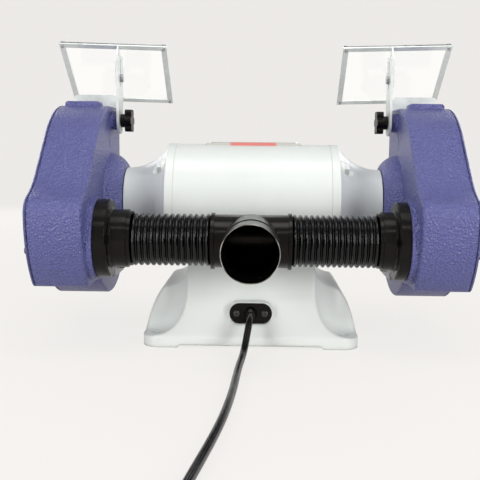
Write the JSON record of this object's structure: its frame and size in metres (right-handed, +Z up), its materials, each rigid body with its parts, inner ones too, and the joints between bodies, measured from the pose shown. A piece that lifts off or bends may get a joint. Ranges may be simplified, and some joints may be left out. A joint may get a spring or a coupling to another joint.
{
  "type": "bench grinder",
  "caption": "Bench grinder with a wheel in a lobed guard at each end of its motor, eye shields, tool rests and a ribbed-hose dust manifold with a rear outlet.",
  "frame": {"origin": "centre of the four foot bolt holes, on the plane that the feet stand on", "axes": "+X along the wheel shaft to the operator's right, -Y towards the operator, +Z up"},
  "size_m": [0.509, 0.847, 0.368],
  "materials": {
    "white_enamel": "gloss white enamel on cast iron and steel",
    "guard_paint": "hammered violet-blue paint on cast metal",
    "black_plastic": "satin moulded black",
    "hose_plastic": "glossy black flexible hose",
    "cord_rubber": "satin black cable sheath",
    "zinc": "bright zinc-plated sheet",
    "clear_pane": "clear polycarbonate",
    "steel": "machined steel",
    "black_steel": "black oxide fasteners",
    "rest_casting": "pale cast and sheet metal, satin",
    "wheel_grit": "vitrified grey abrasive",
    "blotter_paper": "blotting paper washers",
    "core_steel": "laminated electrical steel",
    "winding": "varnished copper wire",
    "can_aluminium": "drawn can",
    "switch_red": "moulded red",
    "pin_brass": "plated brass"
  },
  "bodies": {
    "frame": {"base_casting": "white_enamel", "motor_housing": "white_enamel", "end_bell_left": "white_enamel", "end_bell_right": "white_enamel", "wheel_guard_left": "guard_paint", "wheel_guard_right": "guard_paint", "guard_cover_left": "guard_paint", "guard_cover_right": "guard_paint", "dust_adapter_left": "black_plastic", "dust_adapter_right": "black_plastic", "dust_tee": "black_plastic", "cable_plate": "black_plastic", "switch_bezel": "black_plastic", "dust_hose_left": "hose_plastic", "dust_hose_right": "hose_plastic", "cable_bush": "cord_rubber", "cord_lead": "cord_rubber", "cord_coil": "cord_rubber", "plug_body": "cord_rubber", "cord_tie": "cord_rubber", "base_cover_plate": "zinc", "end_bell_bolts": "steel", "bearing_outer_rings": "steel", "motor_mount_bolts": "steel", "guard_mount_bolts": "steel", "guard_cover_screws": "black_steel", "spark_arrestor_screws": "black_steel", "plate_screws": "black_steel", "rest_clamp_bolts": "black_steel", "stator_core": "core_steel", "stator_winding": "winding", "capacitor": "can_aluminium", "plug_pins": "pin_brass"},
    "rotor": {"shaft": "steel", "rotor_core": "core_steel", "bearing_inner_rings": "steel", "grinding_wheel_right": "wheel_grit", "grinding_wheel_left": "wheel_grit", "wheel_blotters": "blotter_paper", "wheel_flanges": "steel", "wheel_nuts": "steel"},
    "switch": {"switch_rocker": "switch_red"},
    "rest_arm_right": {"rest_arm_right": "rest_casting", "rest_pivot_bolt_right": "black_steel"},
    "rest_table_right": {"tool_rest_right": "rest_casting"},
    "shield_arm_right": {"shield_arm_right": "zinc"},
    "shield_right": {"shield_frame_right": "zinc", "shield_pane_right": "clear_pane", "shield_screws_right": "steel"},
    "knob_right": {"shield_knob_right": "black_plastic"},
    "arrestor_right": {"spark_arrestor_right": "zinc"},
    "rest_arm_left": {"rest_arm_left": "rest_casting", "rest_pivot_bolt_left": "black_steel"},
    "rest_table_left": {"tool_rest_left": "rest_casting"},
    "shield_arm_left": {"shield_arm_left": "zinc"},
    "shield_left": {"shield_frame_left": "zinc", "shield_pane_left": "clear_pane", "shield_screws_left": "steel"},
    "knob_left": {"shield_knob_left": "black_plastic"},
    "arrestor_left": {"spark_arrestor_left": "zinc"}
  },
  "joints": [
    {"name": "rotor_spin", "type": "hinge", "parent": "frame", "child": "rotor", "pos_m": [0, 0, 0.164], "axis": [1, 0, 0], "continuous": true},
    {"name": "switch_throw", "type": "hinge", "parent": "frame", "child": "switch", "pos_m": [0, -0.108, 0.042], "axis": [1, 0, 0], "range_deg": [-14, 14]},
    {"name": "rest_reach_right", "type": "slide", "parent": "frame", "child": "rest_arm_right", "axis": [0, -1, 0], "range_m": [0, 0.02]},
    {"name": "rest_tilt_right", "type": "hinge", "parent": "rest_arm_right", "child": "rest_table_right", "pos_m": [0.187, -0.126, 0.1515], "axis": [1, 0, 0], "range_deg": [-25, 15]},
    {"name": "shield_tilt_right", "type": "hinge", "parent": "frame", "child": "shield_arm_right", "pos_m": [0.1735, -0.006, 0.266], "axis": [1, 0, 0], "range_deg": [-60, 4]},
    {"name": "shield_height_right", "type": "slide", "parent": "shield_arm_right", "child": "shield_right", "axis": [0, 0, 1], "range_m": [0, 0.02]},
    {"name": "knob_turn_right", "type": "hinge", "parent": "frame", "child": "knob_right", "pos_m": [0.16, -0.006, 0.266], "axis": [1, 0, 0], "range_deg": [-180, 180]},
    {"name": "arrestor_slide_right", "type": "slide", "parent": "frame", "child": "arrestor_right", "axis": [0, 0, 1], "range_m": [0, 0.006]},
    {"name": "rest_reach_left", "type": "slide", "parent": "frame", "child": "rest_arm_left", "axis": [0, -1, 0], "range_m": [0, 0.02]},
    {"name": "rest_tilt_left", "type": "hinge", "parent": "rest_arm_left", "child": "rest_table_left", "pos_m": [-0.187, -0.126, 0.1515], "axis": [1, 0, 0], "range_deg": [-25, 15]},
    {"name": "shield_tilt_left", "type": "hinge", "parent": "frame", "child": "shield_arm_left", "pos_m": [-0.1735, -0.006, 0.266], "axis": [1, 0, 0], "range_deg": [-60, 4]},
    {"name": "shield_height_left", "type": "slide", "parent": "shield_arm_left", "child": "shield_left", "axis": [0, 0, 1], "range_m": [0, 0.02]},
    {"name": "knob_turn_left", "type": "hinge", "parent": "frame", "child": "knob_left", "pos_m": [-0.16, -0.006, 0.266], "axis": [1, 0, 0], "range_deg": [-180, 180]},
    {"name": "arrestor_slide_left", "type": "slide", "parent": "frame", "child": "arrestor_left", "axis": [0, 0, 1], "range_m": [0, 0.006]}
  ]
}
